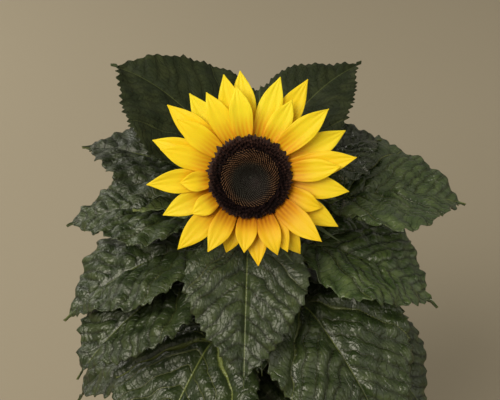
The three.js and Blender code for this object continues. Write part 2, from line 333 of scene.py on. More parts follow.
def cloudyMaterial(name, scale, dark, light, grain, depth, overlay=None, **fixed):
    # dark to light in soft clouds, with their grain as relief; overlay may lay more over that colour
    material, tree, shader = newMaterial(name, **fixed)
    noise = useGroup(tree, mottle, scale)
    skin = mixColor(ramp(noise["Clouds"], 0.3, 0.7), dark, light)
    if overlay is not None:
        skin = overlay(tree, skin, noise)
    plug(shader.inputs["Base Color"], skin)
    plug(shader.inputs["Normal"], bump(noise["Grain"], grain, depth))
    return material


# leaves

leafShape = {
    "outline": {"peak": 0.3, "atFoot": 0.58, "body": 0.9, "strip": 0.07},
    "lobeSweep": 0.13,     # how far the base lobes reach back, as a share of the length
    "sag": 0.15,
    "edgeWave": 2.0,       # mm, with edgeWaves along the blade and a lag between the halves
    "edgeWaves": 2.2,
    "edgeWaveLag": 1.3,
    "tipAt": 0.985,
    "thickness": 0.5,      # mm
    "toothDepth": 2.7,     # mm
    "toothPitch": 3.0,     # mm from tooth to tooth, and more for longer blades
    "pitchPerLength": 0.033,
    "upperTeeth": 1.45,    # times as many on the topmost leaves
    "toothRows": 6,
    "columnsPerWidth": 0.36,
    "crowding": 1.2,       # columns closer together towards the midrib
    "usualLength": 120,    # mm, where ribs and petiole have the sizes given
    "nodWithin": 0.12,     # share of the blade over which it nods
    "veinsPerBlade": 8.0,
    "veinSlope": 0.8,      # how far a side vein climbs for each mm that it runs out
    "veinCurve": 0.006,
    "rayAngle": 0.896,     # radians from the midrib to the first ray of the base lobes
    "rayCurve": 0.0022,
    "rayStep": 0.5,        # radians from ray to ray
    "webEvery": 4.3,       # mm between cross veins
    "swell": 1.6,          # mm that the skin stands up between side veins
    "pucker": 1.0,         # mm more between cross veins
    "billow": 2.1,         # mm of broad uneven swellings under both
    "calm": 0.6,           # share of the swelling that is lost over this span of the blade, to its tip
    "calmSpan": (0.45, 0.95),
    "midribGroove": 1.1,
    "basalGroove": 1.3,
    "ruffle": 1.6,         # mm, finer waves of the edge
    "rib": 1.7,            # mm that the midrib stands out below
    "sideRib": 0.45,       # times that for the side veins
}

# radius in mm, and a share of it more where the petiole clasps the stem
petioleShape = {"radius": 3.0, "clasp": 0.55, "sides": 16, "rings": 26}

# name, height, bearing, petiole, length, width, rise, arch, nod, droop, fold, turn: mm and degrees
leafPlan = [
    ("leaf_upper_right", 340, 45, 44, 98, 80, 58, 10, 8, 44, 10, -4),
    ("leaf_upper_left", 330, 143, 52, 108, 112, 60, 10, 8, 46, 10, 6),
    ("leaf_young_left", 324, 193, 26, 64, 30, 25, 4, 4, 20, 14, 0),
    ("leaf_upper_back", 322, 116, 48, 96, 80, 58, 12, 8, 46, 10, 0),
    ("leaf_right_high", 318, 32, 48, 84, 84, 45, 14, 12, 38, 12, 0),
    ("leaf_left_high", 314, 160, 48, 104, 100, 54, 20, 14, 38, 12, 0),
    ("leaf_front", 310, -92, 44, 110, 85, 37, 24, 34, 32, 12, 0),
    ("leaf_right_side", 304, 7, 78, 96, 118, 34, 22, 8, 30, 16, 0),
    ("leaf_left_side", 302, 178, 52, 96, 96, 38, 18, 14, 38, 12, 0),
    ("leaf_back_high", 292, 80, 46, 104, 88, 32, 18, 14, 38, 12, 0),
    ("leaf_left_front", 286, 197, 54, 108, 92, 30, 20, 20, 38, 12, 0),
    ("leaf_right_front", 286, -15, 56, 104, 104, 33, 22, 18, 40, 12, 0),
    ("leaf_left_mid", 266, 211, 60, 112, 88, 32, 24, 22, 40, 12, 0),
    ("leaf_right_back", 272, 58, 54, 108, 90, 28, 20, 18, 40, 12, 0),
    ("leaf_back_left", 256, 140, 60, 120, 98, 28, 22, 20, 42, 12, 0),
    ("leaf_lower_right", 248, -52, 70, 132, 118, 39, 26, 34, 34, 12, 0),
    ("leaf_right_mid", 240, -30, 64, 120, 96, 28, 24, 22, 40, 12, 0),
    ("leaf_back_right", 232, 42, 62, 120, 100, 26, 22, 20, 42, 12, 0),
    ("leaf_lower_left", 222, -120, 60, 128, 112, 33, 24, 30, 36, 12, 0),
    ("leaf_low_back", 208, 92, 56, 116, 96, 26, 22, 26, 42, 12, 0),
    ("leaf_low_left", 202, 184, 56, 112, 92, 24, 22, 22, 42, 12, 0),
    ("leaf_low_front", 196, -87, 46, 116, 98, 28, 22, 30, 36, 12, 0),
    ("leaf_low_right", 190, -2, 56, 112, 92, 24, 22, 22, 42, 12, 0),
]

# small leaves from the axils, deep in the crown: height, bearing, length
shootPlan = [
    (318, 78, 52), (322, 20, 63), (312, 34, 62), (298, 202, 50), (300, -58, 46), (300, -128, 46),
    (296, 150, 52), (284, -22, 58), (282, 202, 56), (270, 96, 60), (262, 16, 60), (258, 166, 60),
    (252, -84, 62), (240, 66, 58), (236, 118, 58), (230, 0, 60), (226, 178, 60), (216, -62, 56),
    (210, -116, 56), (200, 40, 56), (196, 136, 56),
]

# tone of its green, part its own colour and part painted light and shade, gloss, how pale its side veins are,
# how strong its relief is, mm that its edges turn up
leafLook = {
    "usual": (1.12, 1.0, 0.25, 1.0, 0),
    "leaf_upper_left": (0.72, 0.2, 0.3, 0.32, 2),
    "leaf_upper_back": (0.76, 0.2, 0.3, 0.5, 1),
    "leaf_upper_right": (0.72, 0.2, 0.3, 0.4, 1),
    "leaf_right_high": (0.9, 1.3, 0.2, 1.0, 0),
    "leaf_left_high": (0.68, 0.75, 0.2, 1.0, 0),
    "leaf_front": (1.12, 0.85, 0.2, 0.9, 0),
    "leaf_lower_left": (1.25, 1.1, 1.3, 0.9, 0),
    "leaf_lower_right": (1.35, 1.25, 0.5, 1.0, 0),
    "leaf_right_side": (2.1, 1.3, 0.8, 1.0, 0),
    "leaf_right_front": (2.15, 1.4, 0.3, 1.0, 0),
    "leaf_right_mid": (1.45, 1.0, 0.3, 1.0, 0),
    "leaf_left_front": (1.3, 1.1, 0.25, 1.0, 0),
    "leaf_young_left": (1.5, 0.6, 0.9, 0.5, 1),
}


def grownLeaf(row, phase, index, fineness):
    # a row of the plan as one leaf with its look; fineness scales the rows and columns of its mesh
    keys = ("name", "height", "bearing", "petiole", "length", "width", "rise", "arch", "nod", "droop", "fold",
            "turn", "toneAndLight", "gloss", "veined", "relief", "edgeLift", "phase", "index", "fineness")
    return dict(zip(keys, (*row, *leafLook.get(row[0], leafLook["usual"]), phase, index, fineness)))


def leafPath(leaf):
    # the petiole rises and arches over; the blade nods at its foot, droops to its tip and turns aside
    def heading(run):
        onPetiole = np.minimum(run / leaf["petiole"], 1)
        onBlade = np.maximum((run - leaf["petiole"]) / leaf["length"], 0)
        bent = leaf["arch"] * onPetiole ** 1.5 + leaf["nod"] * np.minimum(onBlade / leafShape["nodWithin"], 1)
        return leaf["bearing"] + leaf["turn"] * onBlade, leaf["rise"] - bent - leaf["droop"] * onBlade ** 1.2
    return growPath((0, 0, leaf["height"]), leaf["petiole"] + leaf["length"], heading)


def veinField(leaf, across, ahead):
    # vein counts the side veins, whole on each one: ahead less the climb of a vein that leaves the midrib
    # at 50 degrees and curves to the tip; in the base lobes it counts rays from the blade's foot.
    # web counts the cross veins by distance along the side vein, slanting from strip to strip; both wander
    seed = 5 * leaf["phase"] + 1.7 * (across > 0)
    side = np.abs(across)
    off = smoothStep(1, 9, side)
    away = side + 1.5 * off * wander(across, ahead, seed)
    upTo = ahead + 1.9 * off * wander(ahead, across, seed + 2)
    climb = upTo - (leafShape["veinSlope"] * away + leafShape["veinCurve"] * away ** 2)
    share = climb / leaf["length"]
    above = leafShape["veinsPerBlade"] * share * (1 + 0.3 * share)
    above = above + 0.5 * smoothStep(0, 6, -across) * smoothStep(0, 0.1, share)
    reach = np.hypot(across, ahead)
    beyond = np.arctan2(side, ahead) - (leafShape["rayAngle"] - leafShape["rayCurve"] * reach)
    beyond = beyond - 0.02 * wander(ahead, across, seed + 2)
    vein = np.where(climb > 0, above, -np.maximum(beyond, 0) / leafShape["rayStep"])
    web = np.where(climb > 0, away * (1.28 + 0.004 * away), reach) / leafShape["webEvery"]
    slant = 0.8 * np.sin(2.4 * vein + seed) + 0.35 * np.sin(5.1 * vein + 2 * seed)
    return vein, web + 0.3 * wander(2 * across, 2 * ahead, seed + 4) + slant


def puckerHeight(leaf, across, ahead, vein, web, spacing):
    # a flat-topped bulge between each two side veins, with blisters between its cross veins, steep at the
    # veins: (4 t (1 - t)) to the power 0.5; grooves run along the midrib and the two basal veins
    strip, cell = np.floor(vein), np.floor(web)
    half = np.sign(across) + 10 * leaf["phase"]
    t, s = vein - strip, web - cell
    bulge = (4 * t * (1 - t)) ** 0.5
    blisterHeight = (4 * s * (1 - s)) ** 0.6
    swell = leafShape["swell"] * (0.55 + 0.9 * chanceOf(strip, half))
    pucker = leafShape["pucker"] * (0.3 + 1.4 * chanceOf(strip, cell, half))
    fine = min(leaf["width"] / 90, 1)
    clear = (1 - bell(across, 3.2)) * smoothStep(0, 14, np.hypot(across, ahead))
    calm = 1 - leafShape["calm"] * smoothStep(*leafShape["calmSpan"], ahead / leaf["length"])
    rise = fine * clear * calm * bulge * (swell + pucker * blisterHeight)
    midrib = leafShape["midribGroove"] * bell(across, 2.0)
    basal = leafShape["basalGroove"] * bell(vein * spacing, 2.6) * smoothStep(2, 12, np.abs(across))
    billow = leafShape["billow"] * clear * wander(0.9 * across, 0.9 * ahead, 7 * leaf["phase"])
    return leaf["relief"] * (rise - fine * (midrib + basal)) + fine * (0.4 + 0.6 * leaf["relief"]) * billow


def toothEdge(leaf, u, v, teeth):
    # a saw edge that leans to the tip: rises over two thirds of each tooth, falls in the last third
    step = u * teeth + 0.25 * np.sin(9 * u + leaf["index"])
    within = np.mod(step, 1)
    saw = np.where(within < 2 / 3, within * 1.5, (1 - within) * 3)
    worth = smoothStep(0.0, 0.08, u) * smoothStep(0.99, 0.85, u) * np.abs(v) ** 9
    uneven = 0.5 + 0.9 * chanceOf(np.floor(step), np.sign(v), leaf["index"])
    return leafShape["toothDepth"] * min(leaf["width"] / 80, 1) * saw * worth * uneven


def bladeSurface(leaf, path):
    # u runs from foot to tip and v across; the halves fold up from the midrib, sag outward and wave
    length, half = leaf["length"], leaf["width"] / 2
    teeth = length / (leafShape["toothPitch"] + leafShape["pitchPerLength"] * length)
    teeth = round(teeth * (leafShape["upperTeeth"] if leaf["name"].startswith("leaf_upper") else 1))
    rows = teeth * round(leafShape["toothRows"] * leaf["fineness"]) + 1
    columns = 2 * round(leafShape["columnsPerWidth"] * leaf["fineness"] * leaf["width"]) + 1
    v, u = np.meshgrid(np.linspace(-1, 1, columns), np.linspace(0, leafShape["tipAt"], rows))
    v = np.sign(v) * np.abs(v) ** leafShape["crowding"]
    span = half * outline(u, **leafShape["outline"])
    tooth = toothEdge(leaf, u / leafShape["tipAt"], v, teeth)
    across = v * span + np.sign(v) * tooth
    back = leafShape["lobeSweep"] * (1 - u) ** 3 * np.sin(math.pi * np.abs(v) ** 1.1)
    ahead = length * (u - back) + 0.5 * tooth
    place, along, side, face = pathAt(path, leaf["petiole"] + np.maximum(ahead, 0))
    # lift: fold and sag, then slow and quick waves of the edge, and the edge turned up
    fold = np.abs(across) * math.tan(math.radians(leaf["fold"]))
    sag = leafShape["sag"] * across ** 2 / half
    lag = np.where(v > 0, 0, leafShape["edgeWaveLag"])
    turns = 2 * math.pi * (leafShape["edgeWaves"] * u + leaf["phase"])
    wave = leafShape["edgeWave"] * v ** 2 * np.sin(turns + lag)
    edge = np.abs(v) ** 3
    ruffle = leafShape["ruffle"] * leaf["relief"] * edge
    ruffle = ruffle * np.sin(3.3 * turns + 2 * lag) * smoothStep(1, 0.8, u)
    lift = fold - sag + wave + ruffle + leaf["edgeLift"] * edge
    place = place + along * np.minimum(ahead, 0)[..., None]
    place = place + side * across[..., None] + face * lift[..., None]
    # relief between the veins, with their distance in mm from how fast the count changes
    vein, web = veinField(leaf, across, ahead)
    steps = [(veinField(leaf, across + 0.05 * (1 - k), ahead + 0.05 * k)[0] - vein) / 0.05 for k in (0, 1)]
    spacing = 1 / np.clip(np.hypot(*steps), 0.04, 1)
    rise = puckerHeight(leaf, across, ahead, vein, web, spacing)
    rise = rise * smoothStep(0, 5, span) * (1 - 0.5 * np.abs(v) ** 8)
    place = place + gridNormals(place, face) * rise[..., None]
    # below, the midrib and the side veins stand out, lower towards the tip
    reach = np.hypot(across, ahead) / length
    rib = leafShape["rib"] * math.sqrt(length / leafShape["usualLength"]) * np.clip(1 - reach, 0, 1)
    sideRib = bell((vein - np.round(vein)) * spacing, 1.1) * smoothStep(1, 4, np.abs(across))
    ribs = rib * (bell(across, 1.5) + leafShape["sideRib"] * sideRib) * smoothStep(0, 6, span)
    fields = {"vein": vein, "web": web, "spacing": spacing, "across": across, "reach": reach}
    return place, gridNormals(place, face), ribs, fields


def petioleSize(leaf):
    return petioleShape["radius"] * math.sqrt(leaf["length"] / leafShape["usualLength"])


def petioleTube(leaf, path):
    # slender, grooved along its top, wider where it clasps the stem, ending under the blade's foot
    size = petioleSize(leaf)
    run = np.linspace(5, leaf["petiole"] + 0.05 * leaf["length"], petioleShape["rings"])
    place, _, side, face = pathAt(path, run)
    share = run / (leaf["petiole"] + leaf["length"] * 0.2)
    radius = size * (1 - 0.6 * share) + size * petioleShape["clasp"] * bell(run - 5, 7)
    radius = radius * (0.35 + 0.65 * smoothStep(run[-1], run[-1] - 5, run))
    centre = place - face * ((radius + 0.3) * np.minimum(run / leaf["petiole"], 1))[:, None]
    turn = turnsOf(petioleShape["sides"])[None, :]
    groove = 1 - 0.22 * bell(np.minimum(turn, 2 * math.pi - turn), 0.5)
    return tube(centre, side, face, radius[:, None] * groove, petioleShape["sides"])


def leafMaterial(name, green, light, vein, under, shine=0.5, creaseShade=0.7):
    # the blade's fields place the veins: pale midrib and main veins, thin lines for the rest, and painted
    # shade in the creases and along the cross veins
    material, tree, shader = newMaterial(name, Specular_IOR_Level=shine, Specular_Tint=(1.0, 0.97, 0.86, 1.0))
    clouds = useGroup(tree, mottle, 85.0)
    small = useGroup(tree, blister, 380.0)["Height"]
    side = calc("ABSOLUTE", field(tree, "across"))
    count, cross, reach = field(tree, "vein"), field(tree, "web"), field(tree, "reach")
    below, gloss, veined = field(tree, "under"), field(tree, "gloss"), field(tree, "veined")
    slim = calc("SUBTRACT", 1.0, times(reach, 0.8))  # veins thin out away from the foot
    midrib = ramp(side, times(slim, 0.25), times(slim, 0.85), 1, 0)
    midrib = times(midrib, plus(0.42, times(veined, 0.5)))
    strip = calc("ROUND", count)
    offVein = times(calc("ABSOLUTE", calc("SUBTRACT", count, strip)), field(tree, "spacing"))
    main = calc("COMPARE", strip, 0.0, 0.1)
    ray = calc("LESS_THAN", strip, -0.5)
    wide = times(slim, plus(0.42, times(main, 0.4)))
    wide = times(wide, plus(0.75, times(veined, 0.55)))
    sideVein = ramp(offVein, times(wide, 0.4), times(wide, 1.5), 1, 0)
    worth = plus(0.35, plus(times(main, 0.65), times(ray, 0.25)))
    pale = calc("MAXIMUM", midrib, times(sideVein, times(worth, veined)), clamp=True)
    offWeb = calc("ABSOLUTE", calc("SUBTRACT", cross, calc("ROUND", cross)))
    webLine = times(ramp(offWeb, 0.0, 0.12, 1, 0), ramp(side, 1.5, 4.0))
    # green skin, lighter in clouds, with painted shade darkening the creases and the cross veins; the
    # underside is greyer
    # dark is the colour of the painted shade in the creases and along the cross veins
    dark = tuple(0.3 * part for part in green)
    skin = mixColor(ramp(clouds["Clouds"], 0.35, 0.7), green, light)
    # painted shade in the crease beside each side vein, then along the cross veins
    skin = mixColor(ramp(offVein, 0.2, 1.9, creaseShade, 0), skin, dark)
    skin = mixColor(times(webLine, 0.45), skin, dark)
    # the per-leaf tone multiplies the green: part the leaf's own tone, part painted light and shade
    skin = mixColor(1.0, skin, field(tree, "toneAndLight"), "MULTIPLY")
    skin = mixColor(pale, skin, vein)
    plug(shader.inputs["Base Color"], mixColor(below, skin, under))
    rough = calc("SUBTRACT", 0.62, times(gloss, 0.33))
    rough = plus(rough, times(clouds["Clouds"], 0.14))
    plug(shader.inputs["Roughness"], plus(rough, times(below, 0.2)))
    groove = times(calc("MAXIMUM", sideVein, times(webLine, 0.6)), -1.0)
    height = plus(plus(groove, times(small, 0.6)), times(clouds["Grain"], 0.9))
    plug(shader.inputs["Normal"], bump(height, 0.65, 0.0006))
    return material


# green, lighter green, veins, underside, shine, darkness of the painted shade in the creases
darkLeaf = leafMaterial("darkLeaf", (0.019, 0.031, 0.009), (0.041, 0.058, 0.016), (0.17, 0.20, 0.050),
                        (0.066, 0.088, 0.036), 0.64)
shadeLeaf = leafMaterial("shadeLeaf", (0.024, 0.034, 0.012), (0.046, 0.057, 0.019), (0.13, 0.15, 0.045),
                         (0.060, 0.078, 0.034), 0.15, 0.4)
youngLeaf = leafMaterial("youngLeaf", (0.068, 0.090, 0.024), (0.10, 0.128, 0.036), (0.26, 0.30, 0.10),
                         (0.12, 0.15, 0.065))
greenStalk = cloudyMaterial("greenStalk", 90.0, (0.085, 0.118, 0.026), (0.15, 0.19, 0.045), 0.3, 0.0004,
                            Specular_IOR_Level=0.4)


def leafMesh(leaf):
    # blade and petiole as one mesh with its fields and the material of each face
    path = leafPath(leaf)
    surface, normals, ribs, fields = bladeSurface(leaf, path)
    thin = leafShape["thickness"] / 2
    blade, stalk = shell(surface, normals, thin, thin + ribs[..., None]), petioleTube(leaf, path)
    count, stalkCount = len(blade[0]), len(stalk[0])
    rest = np.zeros(stalkCount)
    fields = {key: np.concatenate([values.ravel(), values.ravel(), rest]) for key, values in fields.items()}
    fields["under"] = np.repeat([0.0, 1.0], [count // 2, count // 2 + stalkCount])
    # the tone of its look, part painted light and shade, with a little random variation from leaf to leaf
    toneAndLight = leaf["toneAndLight"] * (0.88 + 0.24 * chanceOf(leaf["index"], 3))
    for key, value in (("toneAndLight", toneAndLight), ("gloss", leaf["gloss"]), ("veined", leaf["veined"])):
        fields[key] = np.full(count + stalkCount, value)
    points, faces = joined([blade, stalk])
    return points, faces, fields, [0] * len(blade[1]) + [1] * len(stalk[1])


leaves = [grownLeaf(row, 0.37 * index, index, 1) for index, row in enumerate(leafPlan)]
for leaf in leaves:
    points, faces, fields, picks = leafMesh(leaf)
    young = leaf["length"] < 80
    skin = youngLeaf if young else shadeLeaf if leaf["name"].startswith("leaf_upper") else darkLeaf
    newPiece(leaf["name"] + "_green", points, faces, [skin, greenStalk],
             replaces=[leaf["name"]], fields=fields, picks=picks)
print("leaves:", len(leaves))


def shootPiece():
    # the small leaves of the axils, joined into one piece
    shoots = []
    for index, (height, bearing, length) in enumerate(shootPlan):
        row = ("shoot", height, bearing, 0.5 * length, length, 0.72 * length, 34, 22, 18, 34, 12, 0)
        shoots.append(leafMesh(grownLeaf(row, 0.53 * index, 40 + index, 0.7)))
    points, faces = joined(shoots)
    fields = {key: np.concatenate([shoot[2][key] for shoot in shoots]) for key in shoots[0][2]}
    picks = [pick for shoot in shoots for pick in shoot[3]]
    newPiece("leaf_shoots", points, faces, [darkLeaf, greenStalk], fields=fields, picks=picks)


shootPiece()
print("shoots:", len(shootPlan))


# stem

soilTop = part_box("soil")[1].z / mm

stemShape = {
    "flareRadius": 12.0,
    "flareHeight": 14.0,
    "footRadius": 9.0,
    "neckRadius": 5.8,
    "uprightTo": 328.0,
    "ribs": 11,
    "ribHeight": 0.35,
    "sides": 66,
    "rings": 90,
    "jointSwelling": 1.1,
}

bloom = {"centre": np.array([0.0, -45.0, 390.0]), "facesUp": 28.0, "headRadius": 28.0, "headDepth": 18.0}
tilt = math.radians(bloom["facesUp"])
bloomRight = np.array([1.0, 0, 0])
bloomAxis = np.array([0, -math.cos(tilt), math.sin(tilt)])
bloomUp = np.cross(bloomAxis, bloomRight)


def stemLine():
    # straight up, then a cubic Bezier curve forward into the back of the bloom
    neck = bloom["centre"] - bloomAxis * (bloom["headDepth"] + 0.3)
    bend = np.array([0, 0, stemShape["uprightTo"]])
    controls = [bend, bend + [0, 4, 44], neck - 22 * bloomAxis, neck + 2 * bloomAxis]
    t = np.linspace(0, 1, 40)[:, None]
    curve = sum(math.comb(3, k) * (1 - t) ** (3 - k) * t ** k * point for k, point in enumerate(controls))
    straight = np.linspace([0, 0, soilTop - 2], bend, 60)[:-1]
    line = np.concatenate([straight, curve])
    run = np.concatenate([[0], np.cumsum(np.linalg.norm(np.diff(line, axis=0), axis=1))])
    even = np.linspace(0, run[-1], stemShape["rings"])
    return readAt(even, run, line), even / run[-1]


def stemSurface():
    # tapering, flared at the soil, swollen a little where leaves join, with shallow ribs round it
    line, share = stemLine()
    along = unit(np.gradient(line, axis=0))
    side = np.broadcast_to(bloomRight, along.shape)
    face = np.cross(along, side)
    foot = stemShape["footRadius"]
    taper = foot + (stemShape["neckRadius"] - foot) * np.minimum(share / 0.9, 1)
    above = np.clip(1 - (line[:, 2] - soilTop) / stemShape["flareHeight"], 0, 1)
    taper = taper + (stemShape["flareRadius"] - foot) * above ** 2
    taper = taper + 1.2 * np.maximum((share - 0.9) / 0.1, 0)
    joints = sum(bell(line[:, 2] - leaf["height"] - 3, 5) for leaf in leaves)
    taper = taper + stemShape["jointSwelling"] * np.minimum(joints, 1) * (share < 0.85)
    turn = turnsOf(stemShape["sides"])[None, :]
    twist = 0.7 * np.sin(3 * share)[:, None]
    ribs = stemShape["ribHeight"] * np.cos(stemShape["ribs"] * (turn + twist)) - 0.1
    return line, along, side, face, taper, taper[:, None] + ribs


line, along, side, face, stemRadius, ribbed = stemSurface()
stemPoints, stemFaces = tube(line, side, face, ribbed, stemShape["sides"])
newPiece("stem_green", stemPoints, stemFaces, [greenStalk], replaces=["stem"])

hairShape = {"perStem": 2600, "perPetiole": 130, "length": 1.9, "thickness": 0.09}


def hairs(centres, alongs, sides, faces, radii, count, seed):
    # bristles standing out of a stalk, each leaning a little up or down it
    chance = np.random.default_rng(seed)
    pick = chance.uniform(0, len(centres) - 1.001, count)
    low = pick.astype(int)
    part = (pick - low)[:, None]

    def between(values):
        return values[low] * (1 - part) + values[low + 1] * part

    turn = chance.uniform(0, 2 * math.pi, count)[:, None]
    outward = between(faces) * np.cos(turn) + between(sides) * np.sin(turn)
    lean = unit(outward + between(alongs) * chance.normal(0, 0.35, (count, 1)))
    first = unit(np.cross(lean, between(alongs)))
    axes = np.stack([first, np.cross(lean, first), lean], 1)
    places = between(centres) + outward * (between(radii[:, None]) - 0.25)
    return places, axes, chance.uniform(0.6, 1.3, count)


def hairPiece():
    # on the stem, and on each petiole with the radius and centre line that it has there
    parts = [hairs(line, along, side, face, stemRadius, hairShape["perStem"], 11)]
    for leaf in leaves:
        run = np.linspace(8, leaf["petiole"], 20)
        place, *ways, upward = pathAt(leafPath(leaf), run)
        radius = petioleSize(leaf) * (1 - 0.6 * run / (leaf["petiole"] + 0.2 * leaf["length"]))
        centre = place - upward * (radius * run / leaf["petiole"])[:, None]
        parts.append(hairs(centre, *ways, upward, radius, hairShape["perPetiole"], 20 + leaf["index"]))
    places, axes, sizes = (np.concatenate(values) for values in zip(*parts))
    thick = hairShape["thickness"]
    shape = [[thick, 0, 0], [-thick / 2, thick, 0], [-thick / 2, -thick, 0], [0, 0, hairShape["length"]]]
    points, faces = copies(shape, [[0, 2, 1], [0, 1, 3], [1, 2, 3], [2, 0, 3]], places, axes, sizes)
    pale, tree, shader = newMaterial("paleHair", Roughness=0.6)
    clouds = useGroup(tree, mottle, 60.0)["Clouds"]
    plug(shader.inputs["Base Color"], mixColor(clouds, (0.30, 0.33, 0.18), (0.42, 0.44, 0.28)))
    newPiece("stalk_hairs", points, faces, [pale], smooth=False)


hairPiece()
print("stem and hairs")


# bloom: petals

petalShape = {
    "outline": {"peak": 0.48, "body": 1.0, "strip": 0.0},
    "atFoot": 0.62,
    "atFootPerLayer": 0.07,
    "baseRadius": bloom["headRadius"] + 0.3,
    "sunk": 1.5,         # mm that the foot lies under the disc's edge
    "halfWidth": 5.6,
    "halfWidthPerLength": 0.065,
    "layerDrop": 1.9,
    "lift": 16.0,
    "liftPerLayer": 4.5,
    "bend": 16.0,
    "lowExtra": 40.0,
    "cup": 1.1,
    "pleat": 0.22,       # mm, three shallow pleats along it
    "gutter": 1.3,       # mm that the middle sinks at the foot, while the edges rise
    "keel": 0.35,        # mm that a crease down the middle sinks
    "waver": 0.5,        # mm that the edges wave
    "aside": 5.0,        # degrees that the tip may turn to either side
    "thickness": 0.45,
    "twist": 8.0,        # degrees at the tip, either way
    "curl": 3.0,         # mm that the tip lifts or drops
    "tipAt": 0.994,
    "rows": 49,
    "columns": 23,
}

# bearing from the bloom's right, reach from its centre, layer from the front
petalPlan = [
    (7, 62, 0), (11, 74, 1), (25, 73, 2), (42, 71, 0), (59, 77, 3), (61, 60, 1), (74, 71, 2),
    (95, 73, 3), (98, 63, 0), (105, 72, 2), (117, 65, 1), (127, 70, 3), (139, 75, 2), (141, 64, 0),
    (159, 72, 3), (162, 64, 1), (183, 71, 2), (184, 48, 0), (203, 66, 3), (212, 47, 0), (224, 71, 2),
    (240, 58, 1), (253, 56, 3), (266, 51, 0), (276, 61, 2), (290, 56, 0), (298, 57, 1), (303, 65, 3),
    (318, 65, 0), (331, 70, 3), (336, 54, 1), (352, 69, 2),
]


def toWorld(points):
    # from the bloom's own frame, X right, Y up its face, Z out of it
    return bloom["centre"] + points @ np.stack([bloomRight, bloomUp, bloomAxis])


def lowness(bearing):
    return ((1 - math.sin(math.radians(bearing))) / 2) ** 2


def bladeGrid(shape):
    # u runs from foot to tip and v across
    v, u = np.meshgrid(np.linspace(-1, 1, shape["columns"]), np.linspace(0, shape["tipAt"], shape["rows"]))
    return u, v


def petalSurface(bearing, reach, layer, seed):
    # lifts forward of the bloom's face, bends back to its tip, cups, and is pleated along its length
    chance = np.random.default_rng(seed)
    low = lowness(bearing)
    lift = petalShape["lift"] - petalShape["liftPerLayer"] * layer + petalShape["lowExtra"] * low
    bend = petalShape["bend"] + petalShape["lowExtra"] * low
    length = (reach - petalShape["baseRadius"]) / math.cos(math.radians(lift - 0.43 * bend))
    foot = petalShape["baseRadius"] - petalShape["sunk"]
    start = polar(foot, math.radians(bearing), -0.5 - petalShape["layerDrop"] * layer)
    aside = chance.uniform(-petalShape["aside"], petalShape["aside"])
    path = growPath(start, length + petalShape["sunk"], lambda run: (
        bearing + aside * (run / length) ** 2, lift - bend * np.minimum(run / length, 1) ** 1.3))
    u, v = bladeGrid(petalShape)
    half = petalShape["halfWidth"] + petalShape["halfWidthPerLength"] * length
    atFoot = petalShape["atFoot"] + petalShape["atFootPerLayer"] * layer
    across = v * half * outline(u, atFoot=atFoot, **petalShape["outline"])
    place, _, side, face = pathAt(path, u * (length + petalShape["sunk"]))
    twist = math.radians(chance.uniform(-1, 1) * petalShape["twist"]) * u ** 1.5
    rolled = side * np.cos(twist)[..., None] + face * np.sin(twist)[..., None]
    upward = face * np.cos(twist)[..., None] - side * np.sin(twist)[..., None]
    cup = petalShape["cup"] * chance.uniform(0.1, 1.3) * v ** 2 * np.sin(math.pi * u)
    pleat = petalShape["pleat"] * np.cos(3 * math.pi * v + chance.uniform(-0.8, 0.8))
    pleat = pleat * np.sin(math.pi * u) ** 0.5
    gutter = petalShape["gutter"] * (v ** 2 - 0.6) * smoothStep(0.45, 0.0, u)
    keel = -petalShape["keel"] * bell(v, 0.16) * smoothStep(1, 0.5, u)
    waver = petalShape["waver"] * np.abs(v) ** 3 * np.sin(2 * math.pi * (1.7 * u + chance.uniform()))
    waver = waver * smoothStep(0, 0.3, u)
    curl = petalShape["curl"] * chance.uniform(-1, 0.8) * np.maximum(u - 0.6, 0) ** 2 / 0.16
    rise = cup + pleat + gutter + keel + waver + curl
    place = place + rolled * across[..., None] + upward * rise[..., None]
    # low is how far the petal lies on the low side of the bloom, turned a little to the right, for the
    # painted shade there
    low, tint = lowness(bearing - 12), chance.uniform()
    fields = {"grain": across, "along": u, "low": 0 * u + low, "tint": 0 * u + tint}
    return place, gridNormals(place, upward), fields


def petalMaterial():
    # lemon yellow, deeper orange towards the disc (partly its own colour, partly painted shade) and on the
    # low side of the bloom (painted shade), with a painted shadow of the head at the foot of the low petals
    # and fine lines along it
    material, tree, shader = newMaterial(
        "petalYellow", Roughness=0.52, Specular_IOR_Level=0.2, Subsurface_Weight=0.2, Subsurface_Scale=0.002,
        Subsurface_Radius=(1.0, 0.6, 0.1), Sheen_Weight=0.03)
    clouds = useGroup(tree, mottle, 70.0)
    along, low = field(tree, "along"), field(tree, "low")
    grain = plus(field(tree, "grain"), times(clouds["Clouds"], 1.6))
    lines, broad = calc("SINE", times(grain, 7.0)), calc("SINE", times(grain, 2.2))
    streaks = plus(0.62, times(ramp(broad, -1.0, 1.0), 0.38))
    foot = times(ramp(along, 0.55, 0.05), streaks)
    skin = mixColor(field(tree, "tint"), (0.97, 0.665, 0.010), (0.96, 0.74, 0.020))
    # the foot deeper orange: partly the petal's own colour, partly painted shade near the disc
    skin = mixColor(foot, skin, (0.84, 0.33, 0.004))
    # painted shade: the low petals more orange, most towards the foot
    skin = mixColor(times(low, ramp(along, 0.1, 0.9, 1.0, 0.35)), skin, (0.78, 0.33, 0.005))
    # a painted shadow of the head: dark brown at the foot of the low petals
    skin = mixColor(times(low, times(foot, 1.1), clamp=True), skin, (0.38, 0.10, 0.002))
    skin = mixColor(times(ramp(lines, 0.2, 1.0), 0.09), skin, (0.76, 0.42, 0.008))
    plug(shader.inputs["Base Color"], skin)
    height = plus(plus(times(lines, 0.25), times(broad, 0.6)), times(clouds["Grain"], 0.8))
    plug(shader.inputs["Normal"], bump(height, 0.2, 0.0004))
    return material


